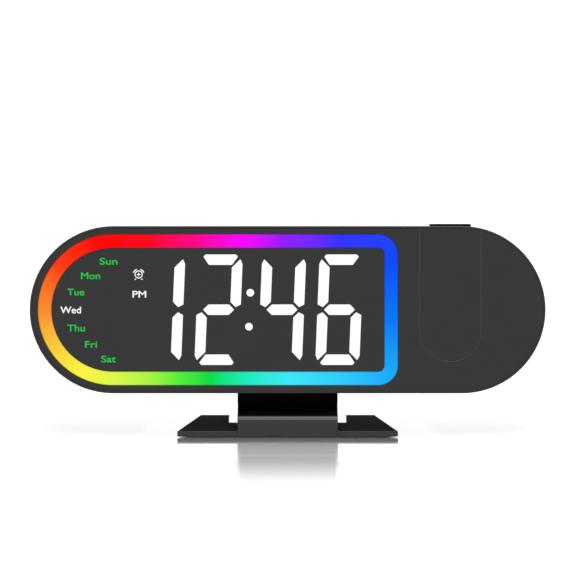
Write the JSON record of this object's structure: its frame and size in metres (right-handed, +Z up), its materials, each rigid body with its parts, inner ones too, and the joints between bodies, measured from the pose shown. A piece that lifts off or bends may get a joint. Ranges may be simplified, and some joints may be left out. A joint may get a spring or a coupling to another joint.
{
  "type": "projection alarm clock",
  "caption": "Digital alarm clock with a stadium-shaped black face, a light ring round its display, a flip-out projector arm and a tilting stand.",
  "frame": {"origin": "middle of the anti-slip pad's underside, on the surface that the clock stands on", "axes": "+X to the viewer's right along the case, the display faces -Y, +Z up"},
  "size_m": [0.222, 0.052, 0.0897],
  "materials": {
    "gloss_black": "polished black moulding",
    "satin_black": "finely textured black ABS",
    "smoked_acrylic": "smoked mirror acrylic",
    "ring_diffuser": "opal acrylic, lit from behind in all colours",
    "segment_diffuser": "opal resin, lit from behind",
    "weekday_diffuser": "clear resin, lit from behind",
    "reflector_black": "moulded ABS",
    "board_white": "white solder mask",
    "board_green": "green solder mask",
    "steel": "zinc plated",
    "contact": "plated spring strip",
    "speaker_black": "paper cone in a plastic frame",
    "pad_rubber": "moulded rubber",
    "lens_glass": "polished",
    "lcd_glass": "polarised film on glass"
  },
  "bodies": {
    "stand": {"stand_base": "gloss_black", "base_pad": "pad_rubber", "stand_neck": "gloss_black", "stand_screws": "steel"},
    "clock": {"tilt_pin": "steel", "front_case": "gloss_black", "rear_case": "satin_black", "case_screws": "steel", "outer_panel": "smoked_acrylic", "light_ring": "ring_diffuser", "ring_led_board": "board_white", "display_lens": "smoked_acrylic", "display_reflector": "reflector_black", "hour_tens": "segment_diffuser", "hour_units": "segment_diffuser", "colon_dots": "segment_diffuser", "minute_tens": "segment_diffuser", "minute_units": "segment_diffuser", "weekday_guides": "weekday_diffuser", "status_guides": "segment_diffuser", "display_board": "board_green", "main_board": "board_green", "board_screws": "steel", "snooze_switch": "board_green", "loudspeaker": "speaker_black", "coin_cell": "steel", "battery_contact": "contact", "battery_door": "satin_black", "door_screw": "steel", "usb_port": "steel", "power_jack": "speaker_black", "power_jack_pin": "steel", "arm_pivot_pins": "steel"},
    "projector_arm": {"arm_front_shell": "satin_black", "arm_rear_shell": "satin_black", "arm_screw": "steel", "projector_tube": "reflector_black", "projector_led_board": "board_white", "condenser_lens": "lens_glass", "projector_lcd": "lcd_glass"},
    "focus": {"focus_ring": "gloss_black", "projector_lens": "lens_glass"},
    "snooze": {"snooze_button": "satin_black"},
    "button_set_key": {"button_set": "satin_black"},
    "button_up_key": {"button_up": "satin_black"},
    "button_down_key": {"button_down": "satin_black"},
    "button_alarm_key": {"button_alarm": "satin_black"},
    "button_projector_key": {"button_projector": "satin_black"},
    "button_light_key": {"button_light": "satin_black"}
  },
  "joints": [
    {"name": "tilt", "type": "hinge", "parent": "stand", "child": "clock", "pos_m": [0, 0.0183, 0.0254], "axis": [-1, 0, 0], "range_deg": [-7.5, 15]},
    {"name": "arm_flip", "type": "hinge", "parent": "clock", "child": "projector_arm", "pos_m": [0.07, 0.00935, 0.04171], "axis": [-1, 0, 0], "range_deg": [0, 90]},
    {"name": "focus_turn", "type": "hinge", "parent": "projector_arm", "child": "focus", "pos_m": [0.07, 0.00824, 0.08422], "axis": [0, 0.1305, 0.9914], "range_deg": [-90, 90]},
    {"name": "snooze_press", "type": "slide", "parent": "clock", "child": "snooze", "axis": [0, -0.1305, -0.9914], "range_m": [0, 0.0008], "stiffness_N_per_m": 1500, "springref_m": -0.0002},
    {"name": "set_press", "type": "slide", "parent": "clock", "child": "button_set_key", "axis": [0, -0.9914, 0.1305], "range_m": [0, 0.0006], "stiffness_N_per_m": 1500, "springref_m": -0.0002},
    {"name": "up_press", "type": "slide", "parent": "clock", "child": "button_up_key", "axis": [0, -0.9914, 0.1305], "range_m": [0, 0.0006], "stiffness_N_per_m": 1500, "springref_m": -0.0002},
    {"name": "down_press", "type": "slide", "parent": "clock", "child": "button_down_key", "axis": [0, -0.9914, 0.1305], "range_m": [0, 0.0006], "stiffness_N_per_m": 1500, "springref_m": -0.0002},
    {"name": "alarm_press", "type": "slide", "parent": "clock", "child": "button_alarm_key", "axis": [0, -0.9914, 0.1305], "range_m": [0, 0.0006], "stiffness_N_per_m": 1500, "springref_m": -0.0002},
    {"name": "projector_press", "type": "slide", "parent": "clock", "child": "button_projector_key", "axis": [0, -0.9914, 0.1305], "range_m": [0, 0.0006], "stiffness_N_per_m": 1500, "springref_m": -0.0002},
    {"name": "light_press", "type": "slide", "parent": "clock", "child": "button_light_key", "axis": [0, -0.9914, 0.1305], "range_m": [0, 0.0006], "stiffness_N_per_m": 1500, "springref_m": -0.0002}
  ]
}
